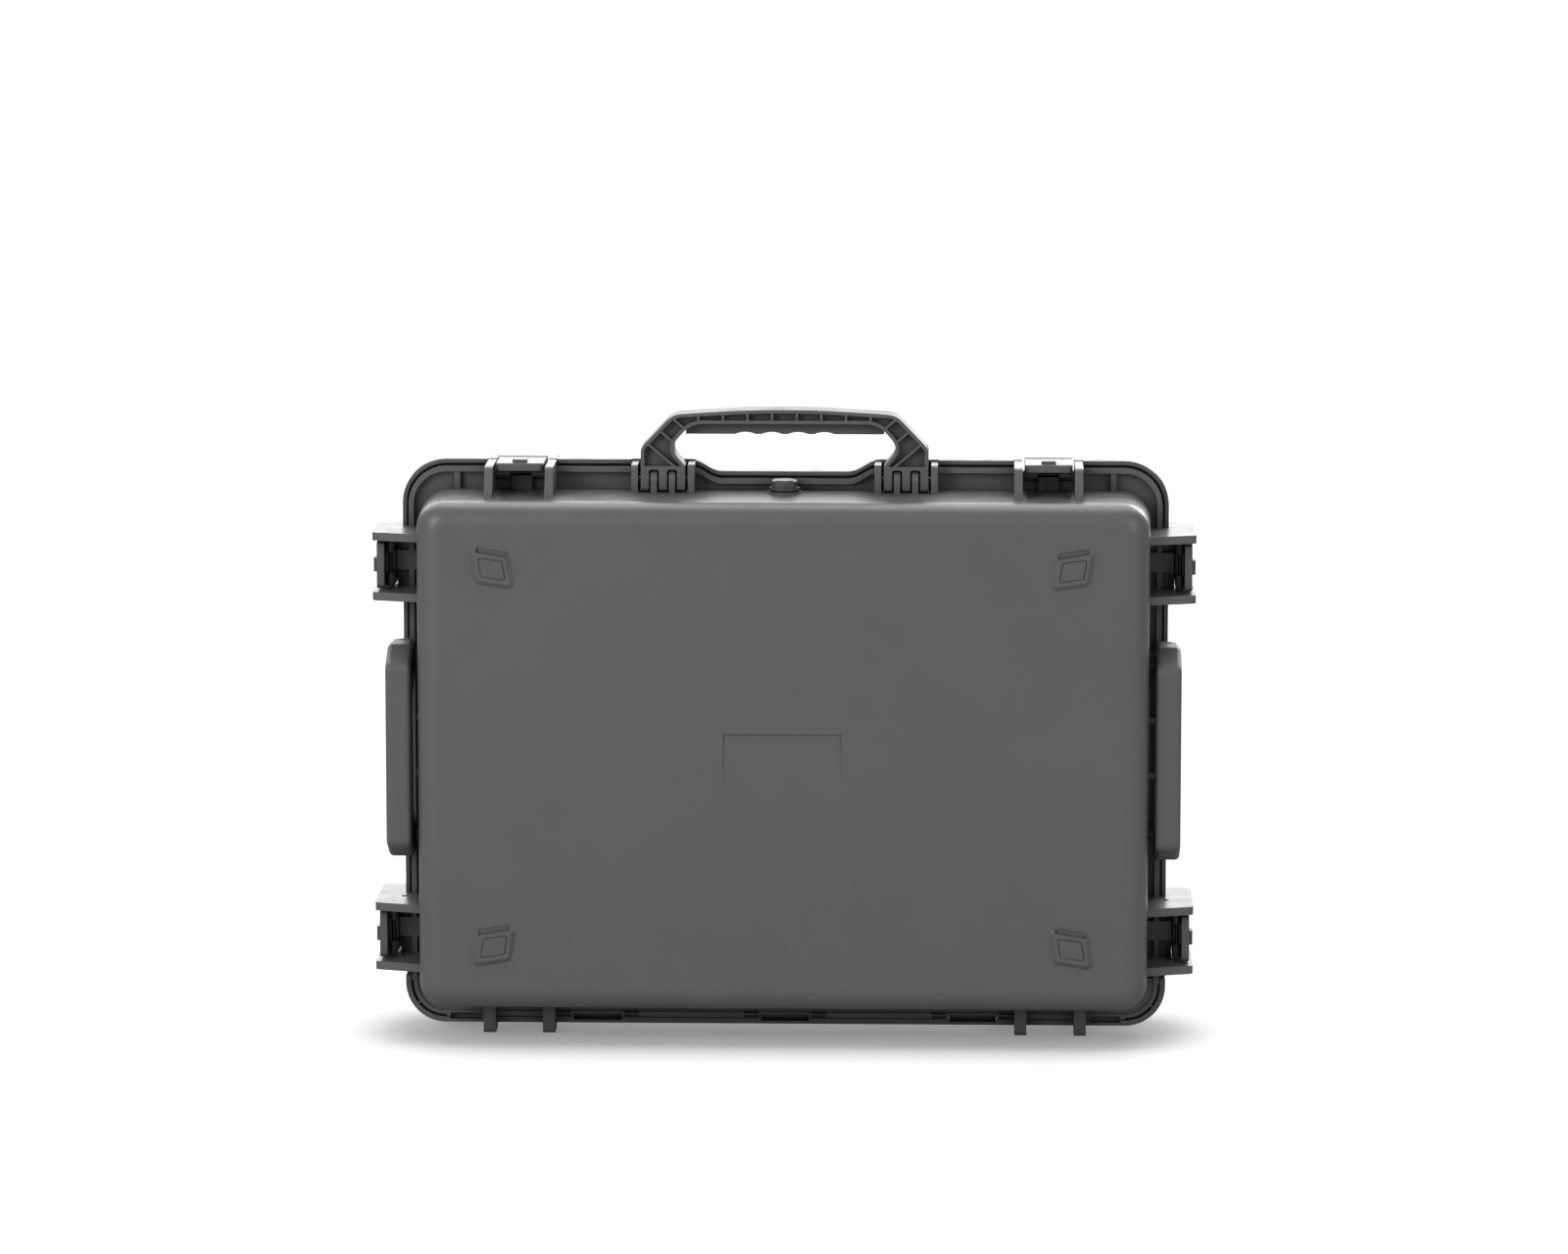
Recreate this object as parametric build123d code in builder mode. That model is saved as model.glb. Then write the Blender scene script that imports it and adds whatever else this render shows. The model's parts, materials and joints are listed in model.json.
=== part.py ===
from build123d import *
import os

os.makedirs("parts", exist_ok=True)

# Frame: +X right, +Z up to the carry handle, +Y from the base's bottom face to the lid.
# X = 0 is the middle, Z = 0 the plane of the stand feet, Y = 0 half way through the depth.
# All sizes are in millimetres and degrees.

# ---- shells ----
base_depth = 90.0
lid_depth = 60.0
pad_reach = 4.0
parting = (base_depth + pad_reach - lid_depth) / 2
seam = 0.3
wall = 4.0
draft = 1.5
body_width = 584.8
body_bottom = 28.8
body_top = 441.0
body_corner = 24.0
edge_round = 18.0
inner_round = 13.0

# ---- rim ----
rim_width = 614.0
rim_bottom = 5.2
rim_top = 464.0
rim_corner = 32.5
rim_top_corner = 35.5
dip_depth = 9.2
dip_floor_half = 55.0
dip_top_half = 71.0
dip_round = 20.0
lip_width = 3.3
lip_wrap = 4.0
lip_gap = 2.0
band_width = 4.2
band_depth = 11.0
bar_depth = 9.6
web_depth = 4.0
lid_rim_depth = 10.0
full_rim_height = 44.0
web_thickness = 4.6
top_web_x = 262.5
side_webs = (165.0, 210.0, 255.0, 300.0)
tongue_width = 2.6
tongue_height = 2.6
tongue_offset = 1.6
groove_play = 0.4
groove_depth = 6.0

# ---- hinges ----
axis_z = 11.6
hinge_sites = (-151.7, 0.0, 151.7)
knuckle_r = 5.5
knuckle_play = 0.5
lid_knuckle = 38.0
hinge_length = 66.0
hinge_pin_r = 2.0
run_play = 0.05
slot_low = 7.6
slot_high = 12.8
slit_reach = 27.4
slit_width = 11.6
slit_height = 2.4
slit_zs = (11.2, 14.7)
slit_sink = 4.5
corner_slot_inset = 4.2
corner_slot_width = 2.2
corner_slot_end = 274.5
corner_slot_top = 39.5
corner_slot_sink = 7.0
corner_rib = (294.7, 22.7)
bar_pocket = (258.4, 10.2)
bar_pocket_width = 24.5
bar_pocket_height = 5.2
lid_rim_rise = 2.0

# ---- stand feet ----
foot_sites = (-238.1, -190.2, 190.2, 238.1)
foot_width = 9.8
base_foot_reach = 28.0
base_foot_end = 1.5
lid_foot_start = 23.0
lid_foot_end = 48.0

# ---- latches ----
top_latch_x = 210.4
top_latch_z = 465.3
side_latch_x = 325.0
side_latch_zs = (383.1, 83.4)
ear_gap = 41.5
ear_thickness = 6.6
base_ear_reach = 62.0
base_ear_nose = 50.0
lid_ear_reach = 33.0
top_ear_proud = -1.8
side_ear_proud = 2.9
lever_width = 38.0
lever_thickness = 6.0
lever_corner = 3.5
lever_edge = 1.0
cheek_flat = 0.0
lever_reach = 43.0
pivot_drop = 9.5
claw_pivot_y = -24.0
lever_pivot_y = -2.0
barrel_r = 3.3
latch_pin_r = 1.6
knuckle_half = 11.7
claw_rib = 3.0
claw_end = 14.5
hook_depth = 21.0
hook_lead = 1.5
hook_half = 17.0
cover_reach = 4.5
cover_cut = 10.4
keeper_drop = 17.5
keeper_edge = 13.6
keeper_depth = 4.0
keeper_half = 8.0
lid_keeper = 13.1
lid_groove = 5.0
tab_width = 11.5
tab_height = 2.7
tab_setback = 4.0
tab_length = 12.0

# ---- carry handle ----
mount_x = 97.0
mount_width = 50.5
mount_ear = 5.4
mount_post = 5.0
finger_width = 6.6
finger_pitch = 14.5
handle_pivot_z = 449.5
handle_pivot_y = -19.3
finger_r = 7.0
finger_drop = 8.6
finger_sweep = 10.2
post_r = 8.5
ear_top_z = 462.5
ear_corner = 4.0
handle_depth = 26.0
handle_half = 114.7
handle_shoulder_z = 475.7
handle_corner_x = 89.0
handle_corner_z = 502.8
handle_peak_z = 508.3
grip_low_z = 495.3
grip_back_z = 485.9
handle_rim = 2.9
handle_plate = 19.0
handle_pin_r = 3.0
leg_half = 17.8
leg_inner_z = 461.5
eye_corner_x = 91.5
eye_corner_z = 476.0
eye_top_x = 75.0
grip_back_depth = 13.0
grip_back_half = 79.0
scallop_pitch = 21.0
scallop_r = 19.7
scallop_sink = 1.7
rib_thickness = 1.8
rib_step = 19.6
rib_count = 8
leg_ribs = ((98.9, 470.6), (95.0, 485.9), (85.4, 496.3))
leg_rib_angle = 40.0
slot_rise = 9.0

# ---- side handles ----
side_handle_z = 234.0
side_handle_length = 172.0
side_handle_in = 296.0
side_handle_out = 316.5
side_pivot_y = -22.0
side_handle_near = -74.0
side_leg = 24.0
side_grip = 20.0
side_shoulder = 27.0
side_lug = 9.0
side_lug_r = 6.0
side_lug_play = 0.5
side_pin_r = 3.0
side_leg_end = 7.0
side_knee = 9.0
side_round = 4.0

# ---- valve, bosses, label ----
valve_y = -25.0
valve_seat_r = 14.0
valve_seat_inner = 1.5
valve_seat_outer = 0.6
valve_ring_width = 2.0
valve_ring_height = 1.2
valve_flange_height = 2.0
valve_nut_height = 4.0
valve_nut_r = 11.5
valve_spigot_r = 3.0
valve_flange_r = 12.0
valve_shank_r = 7.0
valve_knob_r = 10.5
valve_knob_height = 6.0
valve_facets = 8
boss_height = 3.0
boss_width = 32.5
boss_rise = 30.0
boss_lean = 0.07
boss_slope = 0.09
boss_corner = 5.2
boss_notch_width = 25.0
boss_notch_rise = 4.2
boss_notch_sink = 0.6
boss_notch_tilt = 9.5
boss_flank = 50.0
pad_width = 19.0
pad_rise = 15.2
pad_sink = 1.0
pad_corner = 1.6
pad_play = 0.25
boss_x = 229.6
boss_zs = (387.3, 83.5)
label_width = 93.6
label_top = 255.2
label_fade = 40.0
label_sink = 1.0

# ---- lid face ----
seat_depth = 2.0
rib_length = 380.0
rib_width = 14.0
rib_pitch = 70.0
rib_sink = 1.5

# ---- foam ----
foam_play = 0.5
foam_top = 2.0
foam_join = 0.3
laptop_length = 390.0
laptop_width = 290.0
laptop_sink = 62.0
laptop_x = -62.0
extras_length = 86.0
extras_x = 205.0
lid_foam_depth = 14.0
lid_foam_play = 7.0

# ---- derived places ----
lid_start = parting + seam
base_face = parting - base_depth
lid_face = parting + lid_depth
body_height = body_top - body_bottom
body_mid = (body_top + body_bottom) / 2
band_inset = lip_width + lip_gap
side_handle_mid = (side_handle_in + side_handle_out) / 2


def base_plane(y):
    """Plane facing the base's bottom face: local x = X, local y = Z, extrusion runs to -Y."""
    return Plane((0, y, 0), x_dir=(1, 0, 0), z_dir=(0, -1, 0))


def lid_plane(y):
    """Plane facing the lid: local x = -X, local y = Z, extrusion runs to +Y."""
    return Plane((0, y, 0), x_dir=(-1, 0, 0), z_dir=(0, 1, 0))


def rim_outline(inset, bottom):
    """Closed line round the rim, with the dip between the carry handle's mounts."""
    half = rim_width / 2 - inset
    top = rim_top - inset
    low = top - dip_depth
    low_corner = rim_corner - inset
    top_corner = rim_top_corner - inset
    points = [
        (-half, bottom), (half, bottom), (half, top), (dip_top_half, top),
        (dip_floor_half, low), (-dip_floor_half, low), (-dip_top_half, top), (-half, top),
    ]
    radii = [low_corner, low_corner, top_corner, dip_round, dip_round, dip_round, dip_round, top_corner]
    return FilletPolyline(*points, radius=radii, close=True)


def body_outline(grow):
    """Rounded rectangle of the body at the parting plane, grown or shrunk all round."""
    with Locations((0, body_mid)):
        RectangleRounded(body_width + 2 * grow, body_height + 2 * grow, body_corner + grow)


def body_ring(inner, width):
    """Rounded rectangular ring at a distance outside the body's outline."""
    body_outline(inner + width)
    with Locations((0, body_mid)):
        RectangleRounded(
            body_width + 2 * inner, body_height + 2 * inner, body_corner + inner, mode=Mode.SUBTRACT
        )


def boss_outline(side, end, z, width, height, corner):
    """Rounded parallelogram of a foot boss, leaning outward towards the nearest corner."""
    half, rise = width / 2, height / 2
    lean = boss_lean * width
    slope = boss_slope * height
    corners = [
        (-half - lean, -rise - slope), (half - lean, -rise + slope),
        (half + lean, rise + slope), (-half + lean, rise - slope),
    ]
    points = [(side * (boss_x + x), z + end * y) for x, y in corners]
    return FilletPolyline(*points, radius=corner, close=True)


class LatchSite:
    """One latch: where the lever's outer face stands, and which way it faces."""

    def __init__(self, name, x, z, outward, ear_proud, drop):
        self.name = name
        self.centre = Vector(x, 0, z)
        self.outward = Vector(*outward)
        self.ear_proud = ear_proud
        self.drop = drop

    def plane(self, along):
        """Section plane across the latch: local x = Y, local y = outward distance."""
        across = Vector(0, 1, 0).cross(self.outward)
        return Plane(self.centre + across * along, x_dir=(0, 1, 0), z_dir=across)


side_drop = side_latch_x - body_width / 2
top_drop = top_latch_z - body_top
latch_sites = [
    LatchSite("top_left", -top_latch_x, top_latch_z, (0, 0, 1), top_ear_proud, top_drop),
    LatchSite("top_right", top_latch_x, top_latch_z, (0, 0, 1), top_ear_proud, top_drop),
]
for level, z in zip(("upper", "lower"), side_latch_zs):
    latch_sites.append(LatchSite(f"{level}_left", -side_latch_x, z, (-1, 0, 0), side_ear_proud, side_drop))
    latch_sites.append(LatchSite(f"{level}_right", side_latch_x, z, (1, 0, 0), side_ear_proud, side_drop))

ear_inner = ear_gap / 2
ear_outer = ear_inner + ear_thickness
claw_pivot = (parting + claw_pivot_y, -pivot_drop)
lever_pivot = (parting + lever_pivot_y, -pivot_drop)
handle_pivot = (parting + handle_pivot_y, handle_pivot_z)
side_pivot = (side_handle_mid, parting + side_pivot_y)
hinge_axis = (parting, axis_z)


def latch_ears(site, outline, radii):
    """The two ears of one shell beside a latch, from an outline in the latch's section plane."""
    for along in (-ear_outer, ear_inner):
        with BuildSketch(site.plane(along)) as ear:
            with BuildLine():
                FilletPolyline(*outline, radius=radii, close=True)
            make_face()
        extrude(ear.sketch, amount=ear_thickness)


def mount_rails(centre):
    """Centres and widths of the five upright rails of one carry handle mount."""
    outer = mount_width / 2 - mount_ear / 2
    inner = finger_pitch / 2
    return [
        (centre - outer, mount_ear), (centre - inner, mount_post),
        (centre + inner, mount_post), (centre + outer, mount_ear),
    ]


# ---- base shell ----
band_face = parting - band_depth
post_foot_z = body_top - wall / 2

with BuildPart() as base_cavity:
    with BuildSketch(base_plane(parting + lid_rim_depth)):
        body_outline(-wall)
    extrude(amount=lid_rim_depth)
    with BuildSketch(base_plane(parting)):
        body_outline(-wall)
    extrude(amount=base_depth - wall, taper=draft)
    fillet(base_cavity.faces().sort_by(Axis.Y)[0].edges(), inner_round)

with BuildPart() as base_shell:
    # body with its rounded bottom
    with BuildSketch(base_plane(parting)):
        body_outline(0)
    extrude(amount=base_depth, taper=draft)
    fillet(base_shell.faces().sort_by(Axis.Y)[0].edges(), edge_round)
    # thin web, and the upright band round it
    with BuildSketch(base_plane(parting)):
        with BuildLine():
            rim_outline(band_inset, rim_bottom + band_inset)
        make_face()
    extrude(amount=web_depth)
    with BuildSketch(base_plane(parting)):
        with BuildLine():
            rim_outline(band_inset, rim_bottom + band_inset)
        make_face()
        with BuildLine():
            rim_outline(band_inset + band_width, rim_bottom + band_inset + band_width)
        make_face(mode=Mode.SUBTRACT)
    extrude(amount=band_depth)
    # full-size bar along the hinge side and round both lower corners
    with BuildSketch(base_plane(parting)):
        with BuildLine():
            rim_outline(0, rim_bottom)
        make_face()
        with Locations((0, (rim_bottom + full_rim_height) / 2)):
            Rectangle(rim_width, full_rim_height - rim_bottom, mode=Mode.INTERSECT)
    extrude(amount=bar_depth)
    with BuildSketch(base_plane(parting)):
        with BuildLine():
            rim_outline(0, rim_bottom)
        make_face()
        with BuildLine():
            rim_outline(band_width, rim_bottom + band_width)
        make_face(mode=Mode.SUBTRACT)
        with Locations((0, (rim_bottom + full_rim_height) / 2)):
            Rectangle(rim_width, full_rim_height - rim_bottom, mode=Mode.INTERSECT)
    extrude(amount=band_depth)
    # webs between body and band
    with BuildSketch(base_plane(parting)):
        with Locations(*[(side * top_web_x, (body_top + rim_top - band_inset) / 2 - 1) for side in (-1, 1)]):
            Rectangle(web_thickness, rim_top - band_inset - body_top)
        reach = (rim_width - body_width) / 2 - band_inset - 1
        web_mid = body_width / 2 + reach / 2 - 1
        with Locations(*[(side * web_mid, z) for side in (-1, 1) for z in side_webs]):
            Rectangle(reach + 2, web_thickness)
    extrude(amount=band_depth - 1)
    # hinge knuckles, either side of each lid knuckle
    for site in hinge_sites:
        with BuildSketch(Plane.YZ.offset(site - hinge_length / 2)):
            with Locations(hinge_axis):
                Circle(knuckle_r)
        extrude(amount=hinge_length)
    # stand feet
    for site in foot_sites:
        with BuildSketch(Plane.YZ.offset(site - foot_width / 2)):
            with BuildLine():
                FilletPolyline(
                    (parting - base_foot_reach, 0), (parting - base_foot_end, 0),
                    (parting - base_foot_end, body_bottom + wall / 2),
                    (parting - base_foot_reach, body_bottom + wall / 2),
                    radius=[2, 1, 0, 0], close=True,
                )
            make_face()
        extrude(amount=foot_width)
    # latch ears, slanted at their near end
    for site in latch_sites:
        tip = site.ear_proud
        root = -site.drop - wall / 2
        outline = [
            (parting, root), (parting, tip),
            (parting - base_ear_nose, tip), (parting - base_ear_reach, root),
        ]
        latch_ears(site, outline, [0, 0, 5, 0])
        with BuildSketch(site.plane(-ear_inner)):
            with Locations((parting - web_depth / 2, (root - keeper_drop) / 2)):
                Rectangle(web_depth, -root - keeper_drop)
        extrude(amount=ear_gap)
    # carry handle mounts: outer ears and the posts between the fingers
    for side in (-1, 1):
        rails = mount_rails(side * mount_x)
        for x, width in rails[1:3]:
            with BuildSketch(Plane.YZ.offset(x - width / 2)):
                with Locations(handle_pivot):
                    Circle(post_r)
                with Locations((handle_pivot[0], (post_foot_z + handle_pivot_z) / 2)):
                    Rectangle(2 * post_r, handle_pivot_z - post_foot_z)
            extrude(amount=width)
        for x, width in rails[::3]:
            with BuildSketch(Plane.YZ.offset(x - width / 2)):
                with BuildLine():
                    FilletPolyline(
                        (parting, post_foot_z), (parting, ear_top_z), (handle_pivot[0] - post_r, ear_top_z),
                        (handle_pivot[0] - post_r, post_foot_z), radius=[0, 0, ear_corner, 0], close=True,
                    )
                make_face()
            extrude(amount=width)
    # side handle mounts
    for side in (-1, 1):
        for end in (-1, 1):
            middle = side_handle_z + end * (side_handle_length / 2 - side_leg / 2)
            with BuildSketch(Plane.XY.offset(middle - side_lug / 2)):
                with Locations((side * side_pivot[0], side_pivot[1])):
                    Circle(side_lug_r)
                with Locations((side * (side_pivot[0] + body_width / 2 - wall / 2) / 2, side_pivot[1])):
                    Rectangle(side_pivot[0] - body_width / 2 + wall / 2, 2 * side_lug_r)
            extrude(amount=side_lug)
    # foot bosses on the bottom face, each with a seat for its pad
    for side in (-1, 1):
        for end, z in zip((1, -1), boss_zs):
            with BuildSketch(base_plane(base_face)):
                with BuildLine():
                    boss_outline(side, end, z, boss_width, boss_rise, boss_corner)
                make_face()
            extrude(amount=boss_height, taper=boss_flank)
            with BuildSketch(base_plane(base_face - boss_height)):
                with BuildLine():
                    boss_outline(side, end, z, pad_width, pad_rise, pad_corner)
                make_face()
            extrude(amount=-pad_sink, mode=Mode.SUBTRACT)
            # open notch in the upper flank
            notch_z = z + boss_rise / 2 - boss_notch_rise / 2
            tilt = side * end * boss_notch_tilt
            with BuildSketch(base_plane(base_face + boss_notch_sink)):
                with Locations(Location((side * boss_x, notch_z, 0), (0, 0, tilt))):
                    Rectangle(boss_notch_width, boss_notch_rise)
            extrude(amount=boss_height + boss_notch_sink, mode=Mode.SUBTRACT)
    # tongue that presses the lid's gasket
    with BuildSketch(lid_plane(parting)):
        body_ring(tongue_offset, tongue_width)
    extrude(amount=tongue_height)
    # open the inside
    add(base_cavity.part, mode=Mode.SUBTRACT)
    # label recess that fades out downwards
    with BuildSketch(Plane.YZ.offset(-label_width / 2)):
        with BuildLine():
            Polyline(
                (base_face - 1, label_top), (base_face + label_sink, label_top),
                (base_face, label_top - label_fade), (base_face - 1, label_top - label_fade), close=True,
            )
        make_face()
    extrude(amount=label_width, mode=Mode.SUBTRACT)
    # moulding pockets in the hinge-side bar: curved ones in the corners, then straight ones
    with BuildSketch(base_plane(band_face + corner_slot_sink)):
        with BuildLine():
            rim_outline(corner_slot_inset, rim_bottom + corner_slot_inset)
        make_face()
        with BuildLine():
            inner_inset = corner_slot_inset + corner_slot_width
            rim_outline(inner_inset, rim_bottom + inner_inset)
        make_face(mode=Mode.SUBTRACT)
        with Locations((0, body_mid)):
            Rectangle(2 * corner_slot_end, 2 * body_height, mode=Mode.SUBTRACT)
        with Locations((0, corner_slot_top + body_height)):
            Rectangle(2 * rim_width, 2 * body_height, mode=Mode.SUBTRACT)
        for side in (-1, 1):
            with Locations(Location((side * corner_rib[0], corner_rib[1], 0), (0, 0, -45 * side))):
                Rectangle(4 * corner_slot_inset, rib_thickness, mode=Mode.SUBTRACT)
        with Locations((-bar_pocket[0], bar_pocket[1]), bar_pocket):
            Rectangle(bar_pocket_width, bar_pocket_height)
    extrude(amount=corner_slot_sink, mode=Mode.SUBTRACT)
    with BuildSketch(base_plane(band_face + slit_sink)):
        with Locations(*[
            (site + end * slit_reach, z) for site in hinge_sites for end in (-1, 1) for z in slit_zs
        ]):
            Rectangle(slit_width, slit_height)
    extrude(amount=slit_sink, mode=Mode.SUBTRACT)
    # hinge pockets, slots and pin bores
    for site in hinge_sites:
        half = lid_knuckle / 2 + knuckle_play / 2
        with BuildSketch(Plane.YZ.offset(site - half)):
            with Locations(hinge_axis):
                Circle(knuckle_r + knuckle_play)
            with Locations((parting - band_depth / 2, (slot_low + slot_high) / 2)):
                Rectangle(band_depth, slot_high - slot_low)
            with Locations((parting, (rim_bottom + axis_z) / 2)):
                Rectangle(2 * lid_rim_rise, axis_z - rim_bottom + 2)
        extrude(amount=2 * half, mode=Mode.SUBTRACT)
        with BuildSketch(Plane.YZ.offset(site - hinge_length / 2)):
            with Locations(hinge_axis):
                Circle(hinge_pin_r)
        extrude(amount=hinge_length, mode=Mode.SUBTRACT)
    # latch windows in the rim above the keepers, and pin bores
    for site in latch_sites:
        with BuildSketch(site.plane(-ear_inner)):
            with Locations((parting - band_depth / 2, 0)):
                Rectangle(band_depth + 2, 2 * keeper_drop)
        extrude(amount=ear_gap, mode=Mode.SUBTRACT)
        root = -site.drop - wall / 2
        with BuildSketch(site.plane(-keeper_half)):
            with Locations((parting - band_depth + keeper_depth / 2, (root - keeper_edge) / 2)):
                Rectangle(keeper_depth, -root - keeper_edge)
        extrude(amount=2 * keeper_half)
        with BuildSketch(site.plane(-ear_outer)):
            with Locations(claw_pivot):
                Circle(latch_pin_r)
        extrude(amount=2 * ear_outer, mode=Mode.SUBTRACT)
    # handle pin bores, and room for the fingers between the posts
    for side in (-1, 1):
        rails = mount_rails(side * mount_x)
        for (left, left_width), (right, right_width) in zip(rails, rails[1:]):
            start = left + left_width / 2
            end = right - right_width / 2
            with BuildSketch(Plane.YZ.offset(start)):
                with Locations(handle_pivot):
                    Circle(finger_sweep)
                with Locations((parting - handle_depth / 2, rim_top)):
                    Rectangle(handle_depth + 2, 2 * (rim_top - handle_pivot_z))
            extrude(amount=end - start, mode=Mode.SUBTRACT)
        inner_width = mount_width - 2 * mount_ear
        with BuildSketch(Plane.YZ.offset(side * mount_x - inner_width / 2)):
            with Locations((parting - handle_depth / 2, rim_top + post_r)):
                Rectangle(handle_depth + 2, 2 * (rim_top - handle_pivot_z))
        extrude(amount=inner_width, mode=Mode.SUBTRACT)
        with BuildSketch(Plane.YZ.offset(side * mount_x - mount_width / 2)):
            with Locations(handle_pivot):
                Circle(handle_pin_r)
        extrude(amount=mount_width, mode=Mode.SUBTRACT)
        with BuildSketch(Plane.XY.offset(side_handle_z - side_handle_length)):
            with Locations((side * side_pivot[0], side_pivot[1])):
                Circle(side_pin_r)
        extrude(amount=2 * side_handle_length, mode=Mode.SUBTRACT)
    # flat seat for the valve, and its bore
    with BuildSketch(Plane.XY.offset(body_top - wall - valve_seat_inner)):
        with Locations((0, parting + valve_y)):
            Circle(valve_seat_r)
    extrude(amount=valve_seat_inner + wall + valve_seat_outer)
    with BuildSketch(Plane.XY.offset(body_mid)):
        with Locations((0, parting + valve_y)):
            Circle(valve_shank_r)
    extrude(amount=body_height / 2 + wall, mode=Mode.SUBTRACT)
base_shell.part.label = "base_shell"
export_step(base_shell.part, "parts/base_shell.step")

# ---- lid shell ----
with BuildPart() as lid_cavity:
    with BuildSketch(lid_plane(lid_start)):
        body_outline(-wall)
    extrude(amount=lid_depth - seam - wall, taper=draft)
    fillet(lid_cavity.faces().sort_by(Axis.Y)[-1].edges(), inner_round)

with BuildPart() as lid_shell:
    # body with its rounded top
    with BuildSketch(lid_plane(lid_start)):
        body_outline(0)
    extrude(amount=lid_depth - seam, taper=draft)
    fillet(lid_shell.faces().sort_by(Axis.Y)[-1].edges(), edge_round)
    # rim plate, and the lip that wraps the base's band
    lid_rim_low = axis_z + lid_rim_rise
    with BuildSketch(lid_plane(lid_start)):
        with BuildLine():
            rim_outline(0, lid_rim_low)
        make_face()
    extrude(amount=lid_rim_depth - seam)
    with BuildSketch(lid_plane(parting - lip_wrap)):
        with BuildLine():
            rim_outline(0, lid_rim_low)
        make_face()
        with BuildLine():
            rim_outline(lip_width, lid_rim_low + lip_width)
        make_face(mode=Mode.SUBTRACT)
        with Locations((0, full_rim_height / 2 + lip_gap / 2)):
            Rectangle(2 * rim_width, full_rim_height + lip_gap, mode=Mode.SUBTRACT)
    extrude(amount=lip_wrap + seam)
    # groove behind the gap between lip and band
    with BuildSketch(lid_plane(lid_start)):
        with BuildLine():
            rim_outline(lip_width, lid_rim_low + lip_width)
        make_face()
        with BuildLine():
            rim_outline(band_inset, lid_rim_low + band_inset)
        make_face(mode=Mode.SUBTRACT)
        with Locations((0, full_rim_height / 2 + lip_gap / 2)):
            Rectangle(2 * rim_width, full_rim_height + lip_gap, mode=Mode.SUBTRACT)
    extrude(amount=lid_groove, mode=Mode.SUBTRACT)
    # knuckles with their arms
    for site in hinge_sites:
        with BuildSketch(Plane.YZ.offset(site - lid_knuckle / 2)):
            with Locations(hinge_axis):
                Circle(knuckle_r)
            with Locations((lid_start + lid_rim_depth / 2 - seam, axis_z + knuckle_r / 2)):
                Rectangle(lid_rim_depth - seam, knuckle_r)
        extrude(amount=lid_knuckle)
    # stand feet
    for site in foot_sites:
        with BuildSketch(Plane.YZ.offset(site - foot_width / 2)):
            with BuildLine():
                FilletPolyline(
                    (parting + lid_foot_start, 0), (parting + lid_foot_end, 0),
                    (parting + lid_foot_end, body_bottom + wall),
                    (parting + lid_foot_start, body_bottom + wall),
                    radius=[1, 2, 0, 0], close=True,
                )
            make_face()
        extrude(amount=foot_width)
    # latch ears, rounded at their far end
    for site in latch_sites:
        tip = site.ear_proud
        root = -site.drop - wall / 2
        reach = lid_start + lid_ear_reach
        latch_ears(site, [(lid_start, root), (lid_start, tip), (reach, tip), (reach, root)], [0, 0, 6, 0])
        with BuildSketch(site.plane(-ear_inner)):
            with Locations((lid_start + (lid_rim_depth - seam) / 2, (root - lid_keeper) / 2)):
                Rectangle(lid_rim_depth - seam, -root - lid_keeper)
        extrude(amount=ear_gap)
    # room for the base's hinge knuckles
    for site in hinge_sites:
        for end in (-1, 1):
            inner = lid_knuckle / 2
            outer = hinge_length / 2 + knuckle_play
            start = site + min(end * inner, end * outer)
            with BuildSketch(Plane.YZ.offset(start)):
                with Locations(hinge_axis):
                    Circle(knuckle_r + knuckle_play)
            extrude(amount=outer - inner, mode=Mode.SUBTRACT)
    # latch windows in the rim, down to the keeper's height
    for site in latch_sites:
        with BuildSketch(site.plane(-ear_inner)):
            with Locations((parting, 0)):
                Rectangle(2 * lid_rim_depth + 2, 2 * lid_keeper)
        extrude(amount=ear_gap, mode=Mode.SUBTRACT)
        with BuildSketch(site.plane(-ear_outer - seam)):
            with Locations((parting - lip_wrap, 0)):
                Rectangle(2 * lip_wrap + 2 * seam, 8 * keeper_drop)
        extrude(amount=2 * ear_outer + 2 * seam, mode=Mode.SUBTRACT)
    # the lip stops at the carry handle's mounts
    with BuildSketch(lid_plane(parting - lip_wrap)):
        with Locations((-mount_x, rim_top), (mount_x, rim_top)):
            Rectangle(mount_width + 2 * seam, 8 * lip_width)
    extrude(amount=lip_wrap + seam, mode=Mode.SUBTRACT)
    # open the inside, and cut the gasket's groove
    add(lid_cavity.part, mode=Mode.SUBTRACT)
    with BuildSketch(lid_plane(lid_start)):
        body_ring(tongue_offset - groove_play, tongue_width + 2 * groove_play)
    extrude(amount=groove_depth, mode=Mode.SUBTRACT)
    # bores for the hinge rods, with running clearance
    for site in hinge_sites:
        with BuildSketch(Plane.YZ.offset(site - lid_knuckle / 2)):
            with Locations(hinge_axis):
                Circle(hinge_pin_r + run_play)
        extrude(amount=lid_knuckle, mode=Mode.SUBTRACT)
    # stacking seats for another case's foot bosses, and two long stiffening ribs
    for side in (-1, 1):
        for end, z in zip((1, -1), boss_zs):
            with BuildSketch(lid_plane(lid_face)):
                with BuildLine():
                    boss_outline(side, end, z, boss_width + 2, boss_rise + 2, boss_corner)
                make_face()
            extrude(amount=-seat_depth, mode=Mode.SUBTRACT)
    with BuildSketch(lid_plane(lid_face)):
        with Locations(*[(0, body_mid + step * rib_pitch) for step in (-1, 0, 1)]):
            SlotOverall(rib_length, rib_width)
    extrude(amount=-rib_sink, mode=Mode.SUBTRACT)
lid_shell.part.label = "lid_shell"
export_step(lid_shell.part, "parts/lid_shell.step")

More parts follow.
